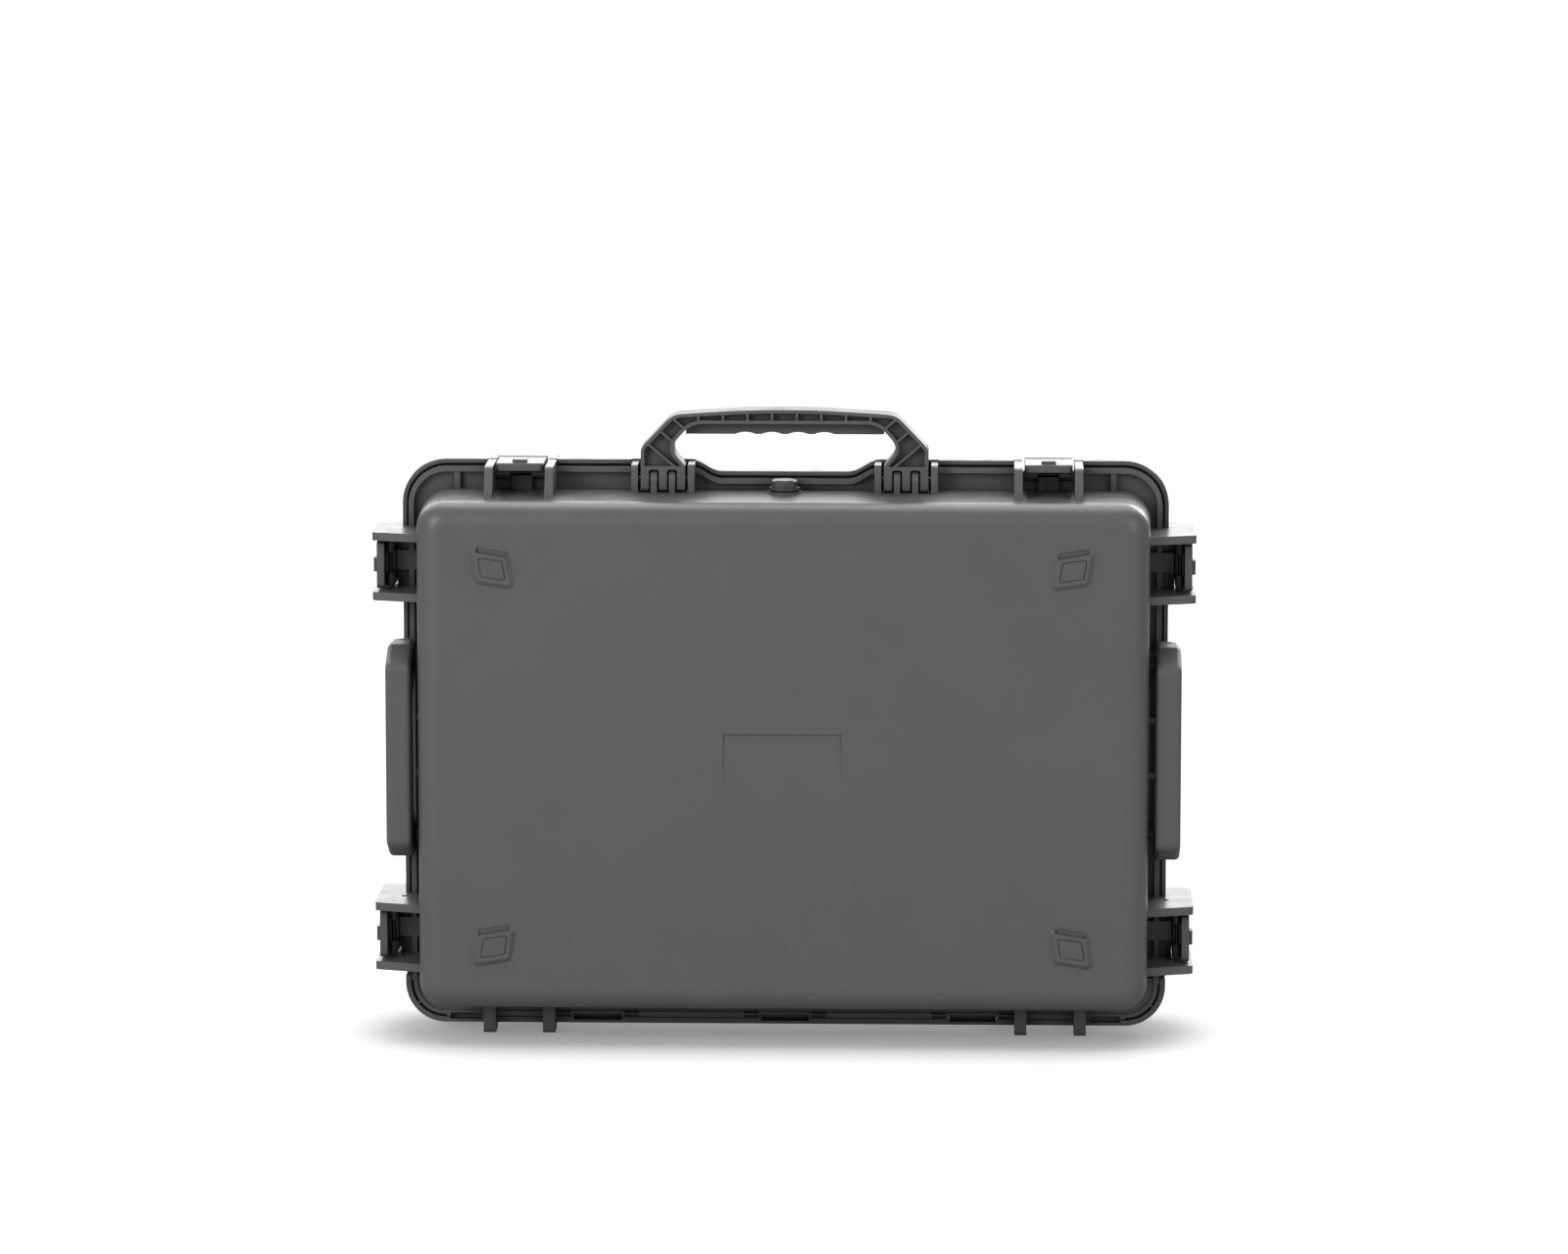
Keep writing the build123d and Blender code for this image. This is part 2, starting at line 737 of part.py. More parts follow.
# ---- hinge rods ----
with BuildPart() as hinge_pins:
    for site in hinge_sites:
        with BuildSketch(Plane.YZ.offset(site - hinge_length / 2)):
            with Locations(hinge_axis):
                Circle(hinge_pin_r)
        extrude(amount=hinge_length)
hinge_pins.part.label = "hinge_pins"
export_step(hinge_pins.part, "parts/hinge_pins.step")

# ---- gasket in the lid's groove ----
with BuildPart() as lid_gasket:
    with BuildSketch(lid_plane(parting + tongue_height + seam)):
        body_ring(tongue_offset - groove_play, tongue_width + 2 * groove_play)
    extrude(amount=groove_depth - tongue_height)
lid_gasket.part.label = "lid_gasket"
export_step(lid_gasket.part, "parts/lid_gasket.step")

# ---- rubber pads in the foot bosses ----
with BuildPart() as foot_pads:
    for side in (-1, 1):
        for end, z in zip((1, -1), boss_zs):
            with BuildSketch(base_plane(base_face - boss_height + pad_sink)):
                with BuildLine():
                    boss_outline(side, end, z, pad_width - 2 * pad_play, pad_rise - 2 * pad_play, pad_corner)
                make_face()
            extrude(amount=pad_reach - boss_height + pad_sink)
foot_pads.part.label = "foot_pads"
export_step(foot_pads.part, "parts/foot_pads.step")

# ---- latches: claw on the base's ears, lever on the claw, hooks behind the lid's rim ----
knuckle_cut = pivot_drop + run_play * 8
cheek_start = knuckle_half + seam
cheek_width = lever_width / 2 - cheek_start
underside = -pivot_drop - barrel_r
tab_start = parting - lever_reach + tab_setback
hook_face = parting + lid_rim_depth + seam
hook_back = parting + claw_end
cover_start = parting + cover_reach

for site in latch_sites:
    cheek_sides = (-lever_width / 2, cheek_start)
    rib_sides = (-knuckle_half, knuckle_half - claw_rib)
    with BuildPart() as lever:
        with BuildSketch(site.plane(-lever_width / 2)):
            with Locations((parting + (lever_pivot_y - lever_reach) / 2, -lever_thickness / 2)):
                Rectangle(lever_reach + lever_pivot_y, lever_thickness)
        extrude(amount=lever_width)
        upright = lever.edges().filter_by(Axis(site.centre, site.outward))
        fillet(upright.group_by(Axis.Y)[0], lever_corner)
        outer_face = lever.faces().sort_by(Axis(site.centre, site.outward))[-1]
        fillet(outer_face.edges(), lever_edge)
        for along in cheek_sides:
            with BuildSketch(site.plane(along)):
                with Locations(lever_pivot):
                    Circle(pivot_drop)
                with Locations((lever_pivot[0], underside - cheek_flat - pivot_drop)):
                    Rectangle(4 * pivot_drop, 2 * pivot_drop, mode=Mode.SUBTRACT)
            extrude(amount=cheek_width)
        with BuildSketch(site.plane(-cheek_start)):
            with Locations(lever_pivot):
                Circle(knuckle_cut)
        extrude(amount=2 * cheek_start, mode=Mode.SUBTRACT)
        with BuildSketch(site.plane(-tab_width / 2)):
            with BuildLine():
                FilletPolyline(
                    (tab_start, -1), (tab_start, tab_height),
                    (tab_start + tab_length, tab_height), (tab_start + tab_length, -1),
                    radius=[0, 0.8, 0.8, 0], close=True,
                )
            make_face()
        extrude(amount=tab_width)
        with BuildSketch(site.plane(-lever_width / 2)):
            with Locations(lever_pivot):
                Circle(latch_pin_r + run_play)
        extrude(amount=lever_width, mode=Mode.SUBTRACT)
    lever.part.label = f"lever_{site.name}"
    export_step(lever.part, f"parts/lever_{site.name}.step")

    with BuildPart() as claw:
        # cover plate with the hook at its far end, cut back round the lever's swing
        with BuildSketch(site.plane(-lever_width / 2)):
            with BuildLine():
                FilletPolyline(
                    (cover_start, -lever_thickness), (hook_back, -lever_thickness),
                    (hook_back, 0), (cover_start, 0),
                    radius=[0, 1, 3, 0], close=True,
                )
            make_face()
        extrude(amount=lever_width)
        with BuildSketch(site.plane(-hook_half)):
            with BuildLine():
                Polyline(
                    (hook_face, -lever_thickness), (hook_face, -hook_depth + hook_lead),
                    (hook_face + hook_lead, -hook_depth), (hook_back, -hook_depth),
                    (hook_back, -lever_thickness), close=True,
                )
            make_face()
        extrude(amount=2 * hook_half)
        with BuildSketch(site.plane(-lever_width / 2)):
            with Locations(lever_pivot):
                Circle(cover_cut)
        extrude(amount=lever_width, mode=Mode.SUBTRACT)
        # knuckle in the middle, and the web that runs under the lever to the claw's own pivot
        with BuildSketch(site.plane(-knuckle_half)):
            with Locations(lever_pivot):
                Circle(pivot_drop)
            with Locations((lever_pivot[0], underside - pivot_drop)):
                Rectangle(4 * pivot_drop, 2 * pivot_drop, mode=Mode.SUBTRACT)
            with BuildLine():
                Polyline(
                    (claw_pivot[0], -pivot_drop), (hook_back, -pivot_drop),
                    (hook_back, -lever_thickness), (lever_pivot[0], -lever_thickness),
                    (lever_pivot[0], -lever_thickness - seam), (claw_pivot[0], -lever_thickness - seam),
                    close=True,
                )
            make_face()
        extrude(amount=2 * knuckle_half)
        # side ribs
        for along in rib_sides:
            with BuildSketch(site.plane(along)):
                with BuildLine():
                    Polyline(
                        (claw_pivot[0], underside), (hook_back, underside),
                        (hook_back, -lever_thickness - seam),
                        (claw_pivot[0], -lever_thickness - seam), close=True,
                    )
                make_face()
            extrude(amount=claw_rib)
        # barrels between the ribs and the ears
        for along in (-ear_inner + seam, knuckle_half - claw_rib):
            with BuildSketch(site.plane(along)):
                with Locations(claw_pivot):
                    Circle(barrel_r)
            extrude(amount=ear_inner - seam - knuckle_half + claw_rib)
        with BuildSketch(site.plane(-ear_inner)):
            with Locations(claw_pivot):
                Circle(latch_pin_r + run_play)
        extrude(amount=ear_gap, mode=Mode.SUBTRACT)
        with BuildSketch(site.plane(-ear_inner)):
            with Locations(lever_pivot):
                Circle(latch_pin_r)
        extrude(amount=ear_gap, mode=Mode.SUBTRACT)
    claw.part.label = f"claw_{site.name}"
    export_step(claw.part, f"parts/claw_{site.name}.step")

    with BuildPart() as lever_pin:
        with BuildSketch(site.plane(-lever_width / 2)):
            with Locations(lever_pivot):
                Circle(latch_pin_r)
        extrude(amount=lever_width)
    lever_pin.part.label = f"lever_pin_{site.name}"
    export_step(lever_pin.part, f"parts/lever_pin_{site.name}.step")

with BuildPart() as claw_pins:
    for site in latch_sites:
        with BuildSketch(site.plane(-ear_outer)):
            with Locations(claw_pivot):
                Circle(latch_pin_r)
        extrude(amount=2 * ear_outer)
claw_pins.part.label = "claw_pins"
export_step(claw_pins.part, "parts/claw_pins.step")

# ---- carry handle ----
handle_back = parting - seam
handle_front = handle_back - handle_depth


def handle_outline():
    """Closed line round the carry handle seen from the front, down to the pivot's height."""
    right = [
        (eye_top_x, grip_low_z, 22), (eye_corner_x, eye_corner_z, 10),
        (mount_x - leg_half, leg_inner_z, 1), (mount_x - leg_half, handle_pivot_z, 0),
        (handle_half, handle_pivot_z, 0), (handle_half, handle_shoulder_z, 8),
        (handle_corner_x, handle_corner_z, 18),
    ]
    left = [(-x, z, radius) for x, z, radius in right[::-1]]
    corners = right + [(0, handle_peak_z, 800)] + left
    points = [(x, z) for x, z, radius in corners]
    return FilletPolyline(*points, radius=[radius for x, z, radius in corners], close=True)


with BuildPart() as carry_handle:
    with BuildSketch(base_plane(handle_back)):
        with BuildLine():
            handle_outline()
        make_face()
    extrude(amount=handle_depth)
    # finger scallops on the deeper back of the grip
    with BuildSketch(base_plane(handle_back)):
        with Locations((0, (grip_low_z + grip_back_z) / 2 + 1)):
            Rectangle(2 * grip_back_half, grip_low_z - grip_back_z + 2)
        with Locations((0, grip_back_z + scallop_sink - scallop_r)):
            with GridLocations(scallop_pitch, 0, 4, 1):
                Circle(scallop_r, mode=Mode.SUBTRACT)
    extrude(amount=grip_back_depth)
    # ribbed pocket in the front face
    with BuildSketch(base_plane(handle_front)):
        with BuildLine():
            handle_outline()
        make_face()
        offset(amount=-handle_rim, mode=Mode.REPLACE)
        with Locations((0, (handle_pivot_z + slot_rise + handle_rim) / 2)):
            Rectangle(4 * handle_half, handle_pivot_z + slot_rise + handle_rim, mode=Mode.SUBTRACT)
        with Locations(*[((step - (rib_count - 1) / 2) * rib_step, grip_low_z) for step in range(rib_count)]):
            Rectangle(rib_thickness, 30, mode=Mode.SUBTRACT)
        for side in (-1, 1):
            for x, z in leg_ribs:
                with Locations(Location((side * x, z, 0), (0, 0, side * leg_rib_angle))):
                    Rectangle(44, rib_thickness, mode=Mode.SUBTRACT)
    extrude(amount=handle_plate - handle_depth, mode=Mode.SUBTRACT)
    for side in (-1, 1):
        # rounded end about the pivot, then the slots that leave three fingers
        with BuildSketch(Plane.YZ.offset(side * mount_x - leg_half)):
            near, far = handle_pivot[0] - finger_r, handle_pivot[0] + finger_r
            low = handle_pivot_z - finger_drop
            with BuildLine():
                FilletPolyline(
                    (near, handle_pivot_z), (far, handle_pivot_z), (far, low), (near, low),
                    radius=[0, 0, 6, 3], close=True,
                )
            make_face()
        extrude(amount=2 * leg_half)
        for step in (-1, 1):
            with BuildSketch(base_plane(parting)):
                with Locations((side * mount_x + step * finger_pitch / 2, handle_pivot_z)):
                    RectangleRounded(finger_pitch - finger_width, 2 * slot_rise, 2)
            extrude(amount=2 * handle_depth, mode=Mode.SUBTRACT)
        with BuildSketch(Plane.YZ.offset(side * mount_x - leg_half)):
            with Locations(handle_pivot):
                Circle(handle_pin_r + run_play)
        extrude(amount=2 * leg_half, mode=Mode.SUBTRACT)
carry_handle.part.label = "carry_handle"
export_step(carry_handle.part, "parts/carry_handle.step")

with BuildPart() as carry_handle_pins:
    for side in (-1, 1):
        with BuildSketch(Plane.YZ.offset(side * mount_x - mount_width / 2)):
            with Locations(handle_pivot):
                Circle(handle_pin_r)
        extrude(amount=mount_width)
carry_handle_pins.part.label = "carry_handle_pins"
export_step(carry_handle_pins.part, "parts/carry_handle_pins.step")

# ---- side handles ----
side_near = parting + side_handle_near
side_thickness = side_handle_out - side_handle_in
for word, side in (("left", -1), ("right", 1)):
    with BuildPart() as side_handle:
        with BuildSketch(Plane.YZ.offset(side * side_handle_mid - side_thickness / 2)):
            low = side_handle_z - side_handle_length / 2
            high = side_handle_z + side_handle_length / 2
            back = side_pivot[1]
            knee = back - side_knee
            with BuildLine():
                FilletPolyline(
                    (back, low), (back, low + side_leg), (knee, low + side_leg),
                    (side_near + side_grip, low + side_shoulder + side_leg / 2),
                    (side_near + side_grip, high - side_shoulder - side_leg / 2),
                    (knee, high - side_leg), (back, high - side_leg), (back, high),
                    (side_near + side_shoulder, high),
                    (side_near, high - side_shoulder / 2), (side_near, low + side_shoulder / 2),
                    (side_near + side_shoulder, low),
                    radius=[0, 0, 4, 10, 10, 4, 0, 0, 12, 8, 8, 12], close=True,
                )
            make_face()
        extrude(amount=side_thickness)
        front_edges = side_handle.edges().group_by(Axis.Y)[0]
        fillet(front_edges.filter_by(Axis.Z), side_round)
        for end in (low, high - side_leg):
            with BuildSketch(Plane.XY.offset(end)):
                with Locations((side * side_pivot[0], side_pivot[1])):
                    Circle(side_leg_end)
            extrude(amount=side_leg)
            with BuildSketch(Plane.XY.offset(end)):
                with Locations((side * side_pivot[0], side_pivot[1])):
                    Circle(side_pin_r + run_play)
            extrude(amount=side_leg, mode=Mode.SUBTRACT)
            # the leg narrows to its round end
            with BuildSketch(Plane.XY.offset(end)):
                with Locations((side * side_pivot[0], side_pivot[1] - side_leg_end / 2)):
                    Rectangle(side_thickness, side_leg_end)
                    Rectangle(2 * side_leg_end, side_leg_end, mode=Mode.SUBTRACT)
            extrude(amount=side_leg, mode=Mode.SUBTRACT)
            # slot for the base's lug
            slot = side_lug + 2 * side_lug_play
            with BuildSketch(Plane.XY.offset(end + side_leg / 2 - slot / 2)):
                with Locations((side * side_pivot[0], side_pivot[1])):
                    Rectangle(side_thickness + 2, 2 * (side_leg_end + side_lug_play))
            extrude(amount=slot, mode=Mode.SUBTRACT)
    side_handle.part.label = f"side_handle_{word}"
    export_step(side_handle.part, f"parts/side_handle_{word}.step")

with BuildPart() as side_handle_pins:
    for side in (-1, 1):
        for end in (-1, 1):
            pin_length = side_leg - 1
            middle = side_handle_z + end * (side_handle_length / 2 - side_leg / 2)
            with BuildSketch(Plane.XY.offset(middle - pin_length / 2)):
                with Locations((side * side_pivot[0], side_pivot[1])):
                    Circle(side_pin_r)
            extrude(amount=pin_length)
side_handle_pins.part.label = "side_handle_pins"
export_step(side_handle_pins.part, "parts/side_handle_pins.step")

# ---- pressure valve ----
valve_centre = (0, parting + valve_y)
seat_z = body_top + valve_seat_outer
flange_z = seat_z + valve_ring_height
knob_z = flange_z + valve_flange_height + run_play
nut_top = body_top - wall - valve_seat_inner

with BuildPart() as valve_oring:
    with BuildSketch(Plane.XY.offset(seat_z)):
        with Locations(valve_centre):
            Circle(valve_shank_r + valve_ring_width)
            Circle(valve_shank_r, mode=Mode.SUBTRACT)
    extrude(amount=valve_ring_height)
valve_oring.part.label = "valve_oring"
export_step(valve_oring.part, "parts/valve_oring.step")

with BuildPart() as valve_body:
    with BuildSketch(Plane.XY.offset(flange_z)):
        with Locations(valve_centre):
            Circle(valve_flange_r)
    extrude(amount=valve_flange_height)
    with BuildSketch(Plane.XY.offset(nut_top - valve_nut_height - 1)):
        with Locations(valve_centre):
            Circle(valve_shank_r)
    extrude(amount=flange_z - nut_top + valve_nut_height + 1)
    with BuildSketch(Plane.XY.offset(flange_z)):
        with Locations(valve_centre):
            Circle(valve_spigot_r)
    extrude(amount=valve_flange_height + valve_knob_height - 2)
    with BuildSketch(Plane.XY.offset(nut_top - valve_nut_height - 1)):
        with Locations(valve_centre):
            Circle(valve_spigot_r / 2)
    extrude(amount=valve_nut_height + wall, mode=Mode.SUBTRACT)
valve_body.part.label = "valve_body"
export_step(valve_body.part, "parts/valve_body.step")

with BuildPart() as valve_knob:
    with BuildSketch(Plane.XY.offset(knob_z)):
        with Locations(valve_centre):
            RegularPolygon(valve_knob_r, valve_facets)
    extrude(amount=valve_knob_height)
    chamfer(valve_knob.faces().sort_by(Axis.Z)[-1].edges(), 1.2)
    with BuildSketch(Plane.XY.offset(knob_z)):
        with Locations(valve_centre):
            Circle(valve_spigot_r + run_play)
    extrude(amount=valve_knob_height - 1.5, mode=Mode.SUBTRACT)
valve_knob.part.label = "valve_knob"
export_step(valve_knob.part, "parts/valve_knob.step")

with BuildPart() as valve_nut:
    with BuildSketch(Plane.XY.offset(nut_top - valve_nut_height)):
        with Locations(valve_centre):
            RegularPolygon(valve_nut_r, 6)
            Circle(valve_shank_r, mode=Mode.SUBTRACT)
    extrude(amount=valve_nut_height)
valve_nut.part.label = "valve_nut"
export_step(valve_nut.part, "parts/valve_nut.step")

# ---- foam ----
with BuildPart() as foam_block:
    with BuildSketch(base_plane(parting - foam_top)):
        body_outline(-wall - foam_play)
    extrude(amount=base_depth - wall - foam_top - foam_play, taper=draft)
    fillet(foam_block.faces().sort_by(Axis.Y)[0].edges(), inner_round + 1)

pocket_floor = parting - foam_top - laptop_sink
pocket_low = body_mid - laptop_width / 2
pocket_high = body_mid + laptop_width / 2
laptop_left = laptop_x - laptop_length / 2
laptop_right = laptop_x + laptop_length / 2
extras_left = extras_x - extras_length / 2
extras_right = extras_x + extras_length / 2
foam_side = body_width / 2
nut_side = 1.5 * valve_nut_r
nut_low = nut_top - valve_nut_height - 3


def foam_strip(left, right, low, high):
    """Rectangle between four edges, short of each by the gap between glued strips."""
    with Locations(((left + right) / 2, (low + high) / 2)):
        Rectangle(right - left - foam_join, high - low - foam_join)


with BuildPart() as base_foam_floor:
    add(foam_block.part)
    with BuildSketch(base_plane(pocket_floor)):
        with Locations((0, body_mid)):
            Rectangle(body_width, body_height)
    extrude(amount=base_depth, mode=Mode.INTERSECT)
base_foam_floor.part.label = "base_foam_floor"
export_step(base_foam_floor.part, "parts/base_foam_floor.step")

with BuildPart() as base_foam_walls:
    add(foam_block.part)
    with BuildSketch(base_plane(parting)):
        foam_strip(-foam_side, foam_side, body_bottom, pocket_low)
        foam_strip(-foam_side, laptop_left, pocket_low, pocket_high)
        foam_strip(extras_right, foam_side, pocket_low, pocket_high)
        foam_strip(-foam_side, -nut_side, pocket_high, body_top)
        foam_strip(-nut_side, nut_side, pocket_high, nut_low)
        foam_strip(nut_side, foam_side, pocket_high, body_top)
    extrude(amount=parting - pocket_floor - foam_join, mode=Mode.INTERSECT)
base_foam_walls.part.label = "base_foam_walls"
export_step(base_foam_walls.part, "parts/base_foam_walls.step")

with BuildPart() as base_foam_divider:
    with BuildSketch(base_plane(parting - foam_top)):
        foam_strip(laptop_right, extras_left, pocket_low, pocket_high)
    extrude(amount=laptop_sink - foam_join)
base_foam_divider.part.label = "base_foam_divider"
export_step(base_foam_divider.part, "parts/base_foam_divider.step")

with BuildPart() as lid_foam:
    with BuildSketch(lid_plane(lid_face - wall - foam_play - lid_foam_depth)):
        body_outline(-wall - lid_foam_play)
    extrude(amount=lid_foam_depth)
    fillet(lid_foam.faces().sort_by(Axis.Y)[-1].edges(), inner_round - 1)
lid_foam.part.label = "lid_foam"
export_step(lid_foam.part, "parts/lid_foam.step")
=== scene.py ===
import json
import math

import bmesh
import bpy
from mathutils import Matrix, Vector

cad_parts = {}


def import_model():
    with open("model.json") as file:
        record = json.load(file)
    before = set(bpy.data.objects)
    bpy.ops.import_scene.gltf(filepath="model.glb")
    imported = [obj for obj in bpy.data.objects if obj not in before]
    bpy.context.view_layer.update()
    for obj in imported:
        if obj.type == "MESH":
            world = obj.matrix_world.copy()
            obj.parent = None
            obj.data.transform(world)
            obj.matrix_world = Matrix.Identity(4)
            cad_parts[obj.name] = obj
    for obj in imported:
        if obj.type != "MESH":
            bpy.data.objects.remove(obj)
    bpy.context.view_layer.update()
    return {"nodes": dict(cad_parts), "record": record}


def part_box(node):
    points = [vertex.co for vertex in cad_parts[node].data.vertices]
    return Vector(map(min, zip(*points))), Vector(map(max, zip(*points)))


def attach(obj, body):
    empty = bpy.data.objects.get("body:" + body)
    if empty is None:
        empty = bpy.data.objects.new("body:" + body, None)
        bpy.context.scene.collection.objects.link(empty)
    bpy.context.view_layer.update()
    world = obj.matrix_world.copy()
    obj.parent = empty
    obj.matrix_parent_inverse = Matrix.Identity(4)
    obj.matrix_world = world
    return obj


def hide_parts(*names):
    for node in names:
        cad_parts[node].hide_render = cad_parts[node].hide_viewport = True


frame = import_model()
nodes = frame["nodes"]

MM = 0.001

# ---- camera ----
CAMERA_PLACE = Vector((0.1581, -5.353, 1.1289))
CAMERA_AIM = Vector((0.001, -0.055, 0.3389))
CAMERA_LENS = 155.16
SENSOR_WIDTH = 36
CAMERA_REACH = 100

# ---- finishes, as the colour a plain white light gives ----
SHELL_GREY = (0.141, 0.143, 0.145)
HANDLE_GREY = (0.126, 0.128, 0.131)
LATCH_GREY = (0.128, 0.130, 0.133)
VALVE_GREY = (0.085, 0.087, 0.090)
PAD_GREY = (0.124, 0.126, 0.129)
SEAL_BLACK = (0.018, 0.018, 0.019)
STEEL_GREY = (0.055, 0.055, 0.058)
FOAM_BLACK = (0.030, 0.030, 0.032)

# ---- mouldings: cloudiness, polish and grain in features per metre, then the painted shade in recesses ----
CLOUD_SCALE = 14
POLISH_SCALE = 55
POLISH_LESS = 0.05
POLISH_MORE = 0.06
GRAIN_SCALE = 1500
GRAIN_DEPTH = 0.15 * MM
RECESS_SAMPLES = 6
RECESS_REACH = 14 * MM
RECESS_SHADE = 0.3
BEVEL_SAMPLES = 4

# ---- cut foam's finish ----
PORE_SCALE = 650
PORE_DEPTH = 0.5 * MM
PORE_BUMP = 0.6

# ---- drawn steel's finish ----
STREAK_SCALE = 300
SCRATCH_SCALE = 900

# ---- room: its light, and its reflections, bright overhead and behind, dim in front ----
ROOM_LIGHT = 0.36
DIM_GLOW = 0.35
BRIGHT_SIDE = (0, 1, 1)
BRIGHT_START = 0.95
BRIGHT_FULL = 1.15
BRIGHT_GLOW = 3.5

# ---- lamps: name, place, height aimed at, width, height, power ----
LAMPS = (
    ("key", (-1.9, -2.5, 1.5), 0.25, 1.6, 1.6, 42),
    ("top", (0.2, 0.2, 2.4), 0.3, 1.8, 1.2, 6),
    ("fill", (1.8, -2.2, 1.2), 0.25, 1.4, 1.4, 12),
    ("rear", (1.6, 2.8, 1.5), 0.25, 1.6, 1.6, 34),
)

# ---- floor: white to the camera, with a painted shadow that dims its glow where the object shelters it ----
FLOOR_REACH = 30
FLOOR_WHITE = 0.5
FLOOR_LIFT = 0.85
SHADOW_SAMPLES = 4
SHADOW_REACH = 90 * MM
SHADOW_FULL = 0.45
SHADOW_NONE = 0.9
SHADOW_LIFT = 0.25

# ---- base foam; each pocket is its middle, width and height ----
FOAM_DRAFT = math.tan(math.radians(1.5))
FOAM_PLAY = 0.3 * MM
FOAM_CORNER = 20 * MM
FOAM_CORNER_LEAST = 5 * MM
FOAM_LIP = 3 * MM
FOAM_FLOOR_ROUND = 14 * MM
FOAM_ROUND_STEPS = 6
LAPTOP_POCKET = (-62 * MM, 390 * MM, 290 * MM)
EXTRAS_POCKET = (205 * MM, 86 * MM, 290 * MM)
POCKET_CORNER = 14 * MM
POCKET_DEPTH = 62 * MM
NUT_NOTCH = (38 * MM, 44 * MM)
NUT_NOTCH_CORNER = 4 * MM
NUT_NOTCH_DEPTH = 46 * MM

# ---- lid foam; its back is rounded by distances from the back and scales ----
EGG_PITCH = 46 * MM
EGG_HEIGHT = 9 * MM
EGG_BORDER = 12 * MM
EGG_CORNER = 17 * MM
EGG_COLUMNS = 150
EGG_ROWS = 104
EGG_BACK = ((3 * MM, 1.0), (1 * MM, 0.985), (0, 0.955))

# ---- seal ----
SEAL_HALF = 1.65 * MM
SEAL_PLAY = 0.1 * MM
SEAL_CORNER = 26.8 * MM
SEAL_CORNER_STEPS = 16
SEAL_SIDES = 12
SEAL_FULLNESS = 0.7


def node_tree(material):
    """The material's tree and its shader, ready for links."""
    material.use_nodes = True
    tree = material.node_tree
    return tree, tree.nodes["Principled BSDF"]


def link(tree, source, socket, target, into):
    tree.links.new(source.outputs[socket], target.inputs[into])


def noise(tree, coordinates, scale, detail=2.0):
    """Noise texture in object space; scale is in features per metre."""
    texture = tree.nodes.new("ShaderNodeTexNoise")
    texture.inputs["Scale"].default_value = scale
    texture.inputs["Detail"].default_value = detail
    link(tree, coordinates, "Object", texture, "Vector")
    return texture


def shade_range(tree, texture, low, high):
    """Maps a texture's middle range to low..high."""
    spread = tree.nodes.new("ShaderNodeMapRange")
    spread.inputs["From Min"].default_value = 0.3
    spread.inputs["From Max"].default_value = 0.7
    spread.inputs["To Min"].default_value = low
    spread.inputs["To Max"].default_value = high
    link(tree, texture, "Fac", spread, "Value")
    return spread


def multiplied(tree, shade):
    """A colour mix whose A is multiplied by a shade node."""
    mix = tree.nodes.new("ShaderNodeMix")
    mix.data_type = "RGBA"
    mix.blend_type = "MULTIPLY"
    mix.inputs["Factor"].default_value = 1
    link(tree, shade, "Result", mix, "B")
    return mix


def moulded(name, colour, roughness, grain, cloud=0.03, edge=0.7 * MM):
    """Moulded plastic: a fine spark-eroded grain, faint cloudiness, softened edges that catch light, and
    painted shade that darkens its colour in recesses.
    """
    material = bpy.data.materials.new(name)
    tree, shader = node_tree(material)
    coordinates = tree.nodes.new("ShaderNodeTexCoord")
    clouds = shade_range(tree, noise(tree, coordinates, CLOUD_SCALE, 4), 1 - cloud, 1 + cloud)
    tint = multiplied(tree, clouds)
    tint.inputs["A"].default_value = (*colour, 1)
    # painted shade: an occlusion node darkens the base colour in recesses, down to RECESS_SHADE of it
    recess = tree.nodes.new("ShaderNodeAmbientOcclusion")
    recess.samples = RECESS_SAMPLES
    recess.inputs["Distance"].default_value = RECESS_REACH
    painted_shade_ao = tree.nodes.new("ShaderNodeMapRange")
    painted_shade_ao.inputs["To Min"].default_value = RECESS_SHADE
    link(tree, recess, "AO", painted_shade_ao, "Value")
    painted_shade_tint = multiplied(tree, painted_shade_ao)
    link(tree, tint, "Result", painted_shade_tint, "A")
    link(tree, painted_shade_tint, "Result", shader, "Base Color")
    uneven = noise(tree, coordinates, POLISH_SCALE, 3)
    polish = shade_range(tree, uneven, roughness - POLISH_LESS, roughness + POLISH_MORE)
    link(tree, polish, "Result", shader, "Roughness")
    rounding = tree.nodes.new("ShaderNodeBevel")
    rounding.samples = BEVEL_SAMPLES
    rounding.inputs["Radius"].default_value = edge
    bump = tree.nodes.new("ShaderNodeBump")
    bump.inputs["Strength"].default_value = grain
    bump.inputs["Distance"].default_value = GRAIN_DEPTH
    link(tree, noise(tree, coordinates, GRAIN_SCALE, 3), "Fac", bump, "Height")
    link(tree, rounding, "Normal", bump, "Normal")
    link(tree, bump, "Normal", shader, "Normal")
    return material


def foamed(name, colour):
    """Cut open-cell foam: matt, with pores and a soft nap."""
    material = bpy.data.materials.new(name)
    tree, shader = node_tree(material)
    shader.inputs["Roughness"].default_value = 0.95
    shader.inputs["Sheen Weight"].default_value = 0.25
    shader.inputs["Sheen Roughness"].default_value = 0.6
    coordinates = tree.nodes.new("ShaderNodeTexCoord")
    pores = tree.nodes.new("ShaderNodeTexVoronoi")
    pores.inputs["Scale"].default_value = PORE_SCALE
    link(tree, coordinates, "Object", pores, "Vector")
    depth = tree.nodes.new("ShaderNodeMapRange")
    depth.inputs["From Max"].default_value = 0.6
    depth.inputs["To Min"].default_value = 0.55
    depth.inputs["To Max"].default_value = 1.3
    link(tree, pores, "Distance", depth, "Value")
    tint = multiplied(tree, depth)
    tint.inputs["A"].default_value = (*colour, 1)
    link(tree, tint, "Result", shader, "Base Color")
    bump = tree.nodes.new("ShaderNodeBump")
    bump.inputs["Strength"].default_value = PORE_BUMP
    bump.inputs["Distance"].default_value = PORE_DEPTH
    link(tree, pores, "Distance", bump, "Height")
    link(tree, bump, "Normal", shader, "Normal")
    return material


